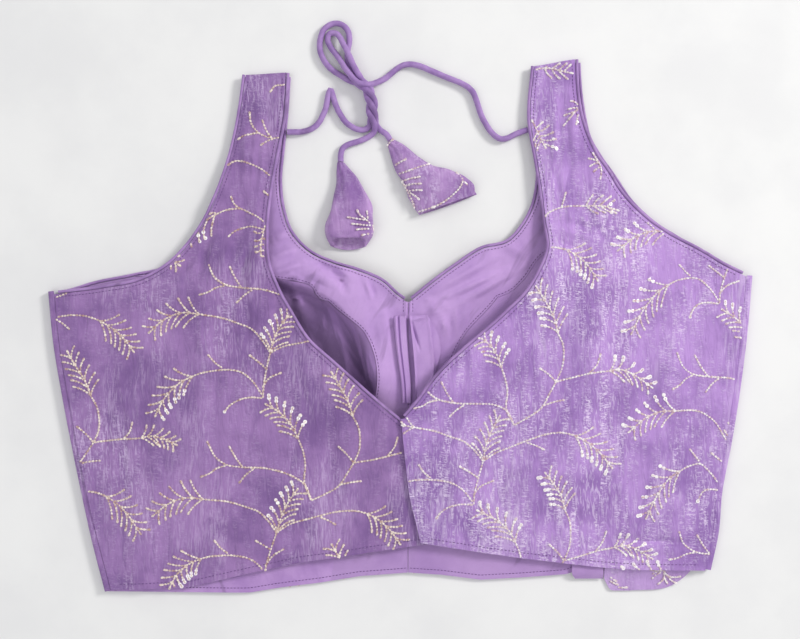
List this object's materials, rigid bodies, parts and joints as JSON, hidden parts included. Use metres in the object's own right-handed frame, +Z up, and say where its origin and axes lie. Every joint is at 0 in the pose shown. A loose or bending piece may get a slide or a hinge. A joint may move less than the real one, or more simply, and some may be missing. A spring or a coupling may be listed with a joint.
{
  "type": "sari blouse",
  "caption": "Sleeveless sari blouse laid flat, back uppermost, with a deep V back, sweetheart front, leaf-vine embroidery and tasselled tie cords.",
  "frame": {"origin": "on the surface under the middle of the garment's box, without the tie cords and their tassels", "axes": "+X across the garment to the right as seen from above, +Y from the hem up to the straps, +Z up from the surface"},
  "size_m": [0.491, 0.3991, 0.0171],
  "materials": {
    "tissue": "lilac crushed tissue silk with a pale shimmer and gold chain stitch",
    "lining": "smooth plain lavender lining",
    "binding": "matt bias binding",
    "cord": "matt cloth tube cord",
    "tassel": "lilac tissue with gold chain stitch"
  },
  "bodies": {
    "root": {"back_left": "tissue", "front_left": "tissue", "lining_centre_left": "lining", "lining_side_left": "lining", "placket_left": "lining", "back_neck_binding_left": "binding", "back_armhole_binding_left": "binding", "front_neck_binding_left": "binding", "front_armhole_binding_left": "binding", "cord_left": "cord", "tail_left": "cord", "tassel_left": "tassel", "back_right": "tissue", "front_right": "tissue", "lining_centre_right": "lining", "lining_side_right": "lining", "placket_right": "lining", "back_neck_binding_right": "binding", "back_armhole_binding_right": "binding", "front_neck_binding_right": "binding", "front_armhole_binding_right": "binding", "cord_right": "cord", "tail_right": "cord", "tassel_right": "tassel", "seam_allowance": "lining", "margin_flap": "tissue", "loop_outer": "cord", "loop_inner": "cord", "knot": "cord"}
  },
  "joints": []
}
